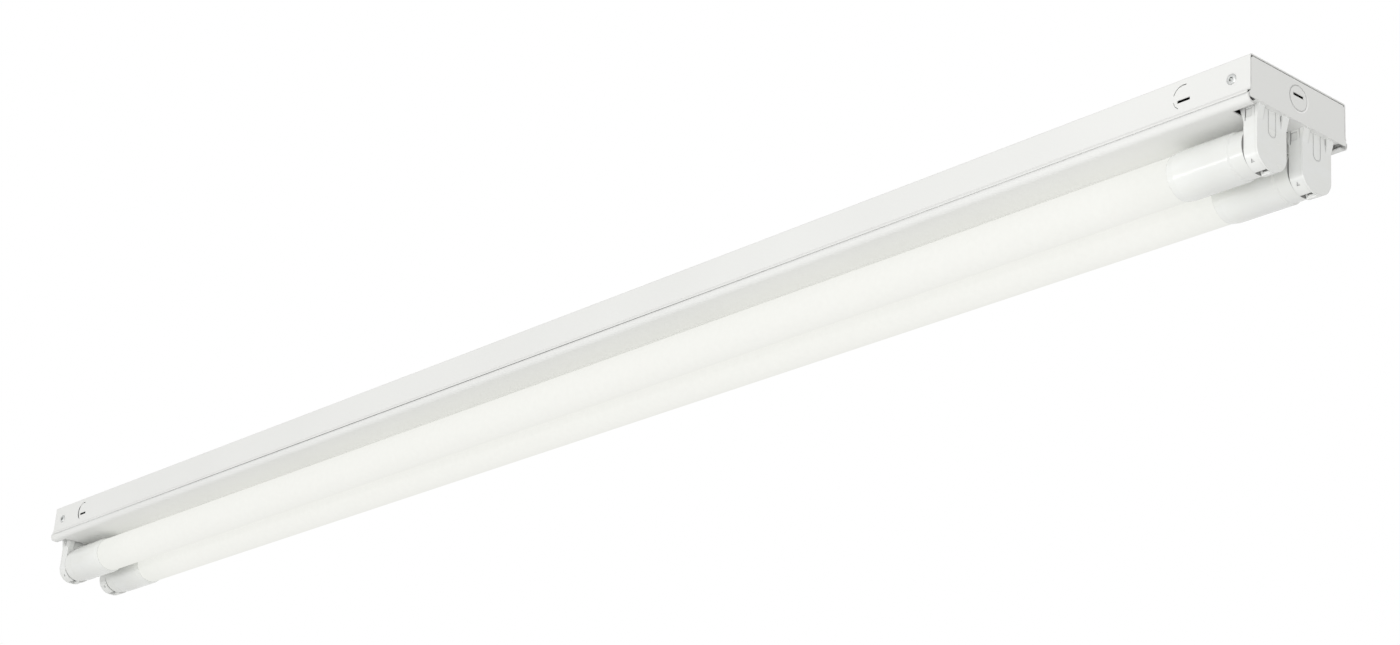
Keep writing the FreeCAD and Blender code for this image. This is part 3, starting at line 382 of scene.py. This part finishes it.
MATERIALS = {
    "white_enamel": enamel("enamel_white", WHITE, fixture=True),
    "rivet_metal": metal("rivet_aluminium", (0.62, 0.63, 0.62), 0.38),
    "ballast_enamel": enamel("enamel_ballast", (0.62, 0.63, 0.62), rough=0.42),
    "screw_steel": metal("screw_zinc", (0.55, 0.55, 0.54), 0.34),
    "green_enamel": enamel("enamel_green", (0.02, 0.16, 0.04), edge=0.0002, rough=0.3),
    "blue_insulation": insulation("wire_blue", (0.01, 0.03, 0.30)),
    "red_insulation": insulation("wire_red", (0.35, 0.01, 0.01)),
    "black_insulation": insulation("wire_black", (0.012, 0.012, 0.012)),
    "white_insulation": insulation("wire_white", (0.72, 0.72, 0.69)),
    "connector_plastic": moulded("connector_orange", (0.62, 0.16, 0.01), rough=0.4),
    "holder_plastic": moulded("holder_white", (0.81, 0.82, 0.81), crevice_shade=0.52),
    "contact_brass": metal("contact_brass", (0.66, 0.47, 0.20), 0.3),
    "cap_plastic": lamp_plastic("cap_white", (0.78, 0.79, 0.775)),
    "pin_brass": metal("pin_brass", (0.70, 0.55, 0.28), 0.25),
    "frosted_tube": lit_tube("tube_lit"),
    "board_white": enamel("board_white", (0.75, 0.75, 0.72), edge=0.0001, rough=0.5),
    "chip_yellow": moulded("chip_phosphor", (0.80, 0.62, 0.12), rough=0.35, edge=0.0001),
}


def paint(obj, slot):
    obj.data.materials.clear()
    obj.data.materials.append(MATERIALS[slot])


for part in frame["record"]["subparts"]:
    paint(NODES[part["node"]], part["material_slot"])
# The cover has the channel's enamel with wider soft edges
NODES["channel_cover"].data.materials[0] = enamel("enamel_cover", WHITE, edge=0.0020,
                                                  fixture=True)


# ---- pieces with more form than their nodes ----
def mesh_object(name, bm, slot, body="housing", smooth=35):
    """A finished mesh as a piece that rides on a body."""
    bmesh.ops.recalc_face_normals(bm, faces=bm.faces)
    mesh = bpy.data.meshes.new(name)
    bm.to_mesh(mesh)
    bm.free()
    obj = bpy.data.objects.new(name, mesh)
    bpy.context.scene.collection.objects.link(obj)
    for polygon in mesh.polygons:
        polygon.use_smooth = True
    mesh.set_sharp_from_angle(angle=math.radians(smooth))
    mesh.materials.append(MATERIALS[slot])
    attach(obj, body)
    return obj


def lathe(bm, profile, matrix, sides=48):
    """A closed (radius, height) outline turned round its own Z axis, then placed."""
    rings = []
    for radius, height in profile:
        if radius < 1e-9:
            rings.append([bm.verts.new(matrix @ Vector((0, 0, height)))])
            continue
        rings.append([bm.verts.new(matrix @ Vector((radius * math.cos(2 * math.pi * i / sides),
                                                    radius * math.sin(2 * math.pi * i / sides),
                                                    height)))
                      for i in range(sides)])
    for a, b in zip(rings, rings[1:]):
        for i in range(sides):
            j = (i + 1) % sides
            loop = [a[i % len(a)], a[j % len(a)], b[j % len(b)], b[i % len(b)]]
            bm.faces.new(list(dict.fromkeys(loop)))


def rivets():
    """Blind rivets: a domed ring of a head with the hollow that the pulled stem leaves."""
    bm = bmesh.new()
    for end in (-1, 1):
        for side in (-1, 1):
            place = Matrix.Translation((end * (HALF_LENGTH - RIVET_FROM_END),
                                        side * HALF_WIDTH, -RIVET_DROP))
            turn = Matrix.Rotation(-side * math.pi / 2, 4, "X")
            lathe(bm, RIVET_OUTLINE, place @ turn)
    obj = mesh_object("rivets_round", bm, "rivet_metal")
    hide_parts("end_plate_rivets")


rivets()


# ---- camera and light ----
def place_camera():
    azimuth, elevation = math.radians(CAMERA_AZIMUTH), math.radians(CAMERA_ELEVATION)
    roll = math.radians(CAMERA_ROLL)
    forward = Vector((-math.sin(azimuth) * math.cos(elevation),
                      math.cos(azimuth) * math.cos(elevation), -math.sin(elevation)))
    right = forward.cross(Vector((0, 0, 1))).normalized()
    up = right.cross(forward)
    turned_right = math.cos(roll) * right + math.sin(roll) * up
    turned_up = math.cos(roll) * up - math.sin(roll) * right
    data = bpy.data.cameras.new("camera")
    data.sensor_width = CAMERA_SENSOR
    data.lens = CAMERA_LENS
    data.clip_start, data.clip_end = 0.05, 50
    camera = bpy.data.objects.new("camera", data)
    rotation = Matrix((turned_right, turned_up, -forward)).transposed().to_4x4()
    camera.matrix_world = Matrix.Translation(CAMERA_PLACE) @ rotation
    bpy.context.scene.collection.objects.link(camera)
    bpy.context.scene.camera = camera


def area_light(name, place, target, size, power):
    data = bpy.data.lights.new(name, "AREA")
    data.shape = "RECTANGLE"
    data.size, data.size_y = size
    data.energy = power
    light = bpy.data.objects.new(name, data)
    light.location = place
    light.rotation_euler = (Vector(target) - Vector(place)).to_track_quat("-Z", "Y").to_euler()
    bpy.context.scene.collection.objects.link(light)


def studio_world():
    """Plain white where it is seen or mirrored, and a softer fill where it gives light."""
    world = bpy.data.worlds.new("studio")
    world.use_nodes = True
    tree = world.node_tree
    tree.nodes.clear()
    path = add(tree, "ShaderNodeLightPath").outputs
    seen = maths(tree, "MAXIMUM", path["Is Camera Ray"],
                 maths(tree, "MAXIMUM", path["Is Glossy Ray"], path["Is Transmission Ray"]))
    white = add(tree, "ShaderNodeBackground", {"Color": (1, 1, 1, 1), "Strength": 1.0})
    fill = add(tree, "ShaderNodeBackground", {"Color": (1.0, 1.0, 0.99, 1)})
    where = add(tree, "ShaderNodeTexCoord")
    toward = add(tree, "ShaderNodeVectorMath", operation="DOT_PRODUCT")
    toward.inputs[1].default_value = FILL_SIDE
    tree.links.new(where.outputs["Generated"], toward.inputs[0])
    tree.links.new(remap(tree, toward.outputs["Value"], -1.0, 1.0, *FILL_STRENGTH),
                   fill.inputs["Strength"])
    mix = add(tree, "ShaderNodeMixShader")
    out = add(tree, "ShaderNodeOutputWorld")
    tree.links.new(seen, mix.inputs[0])
    tree.links.new(fill.outputs[0], mix.inputs[1])
    tree.links.new(white.outputs[0], mix.inputs[2])
    tree.links.new(mix.outputs[0], out.inputs["Surface"])
    bpy.context.scene.world = world


place_camera()
studio_world()
for settings in AREA_LIGHTS:
    area_light(*settings)
bpy.context.scene.view_settings.view_transform = "Standard"
